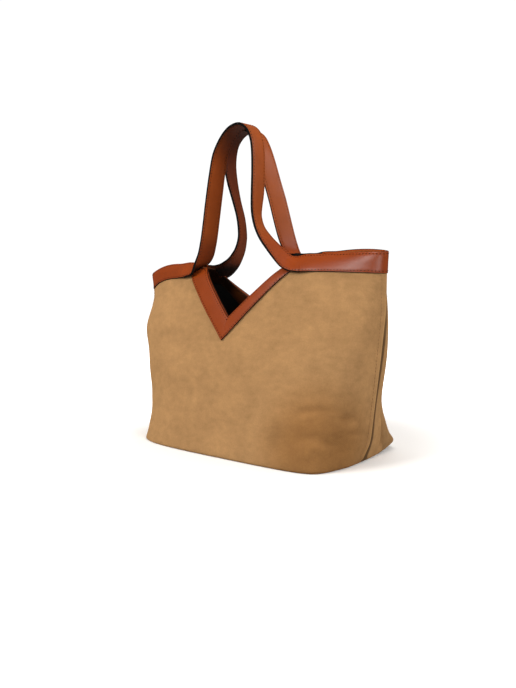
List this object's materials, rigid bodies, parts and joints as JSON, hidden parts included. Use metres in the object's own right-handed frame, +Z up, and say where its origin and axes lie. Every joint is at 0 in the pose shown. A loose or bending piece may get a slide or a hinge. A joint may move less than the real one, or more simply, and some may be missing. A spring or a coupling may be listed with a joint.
{
  "type": "tote bag",
  "caption": "Open tote bag with cloth sides, a leather top band, a V notch in the front and back, and strap handles that fold down.",
  "frame": {"origin": "centre of the base on the floor", "axes": "+X to the bag's right seen from the front, front panel facing -Y, +Z up"},
  "size_m": [0.4938, 0.2142, 0.5056],
  "materials": {
    "cloth": "matte napped canvas",
    "leather": "smooth, satin",
    "leather_inner": "smooth, satin",
    "lining": "matte",
    "board": "matte"
  },
  "bodies": {
    "bag": {"front_panel": "cloth", "back_panel": "cloth", "front_lining": "lining", "back_lining": "lining", "base_board": "board", "front_left_band": "leather", "front_right_band": "leather", "back_left_band": "leather", "back_right_band": "leather", "front_left_facing": "leather_inner", "front_right_facing": "leather_inner", "back_left_facing": "leather_inner", "back_right_facing": "leather_inner", "front_left_trim": "leather", "front_right_trim": "leather", "back_left_trim": "leather", "back_right_trim": "leather", "front_v_facing": "leather_inner", "back_v_facing": "leather_inner"},
    "front_handle": {"front_handle_outer": "leather", "front_handle_inner": "leather_inner"},
    "back_handle": {"back_handle_outer": "leather", "back_handle_inner": "leather_inner"}
  },
  "joints": [
    {"name": "front_handle_fold", "type": "hinge", "parent": "bag", "child": "front_handle", "pos_m": [0, -0.042, 0.2735], "axis": [1, 0, 0], "range_deg": [0, 150]},
    {"name": "back_handle_fold", "type": "hinge", "parent": "bag", "child": "back_handle", "pos_m": [0, 0.042, 0.2735], "axis": [-1, 0, 0], "range_deg": [0, 150]}
  ]
}
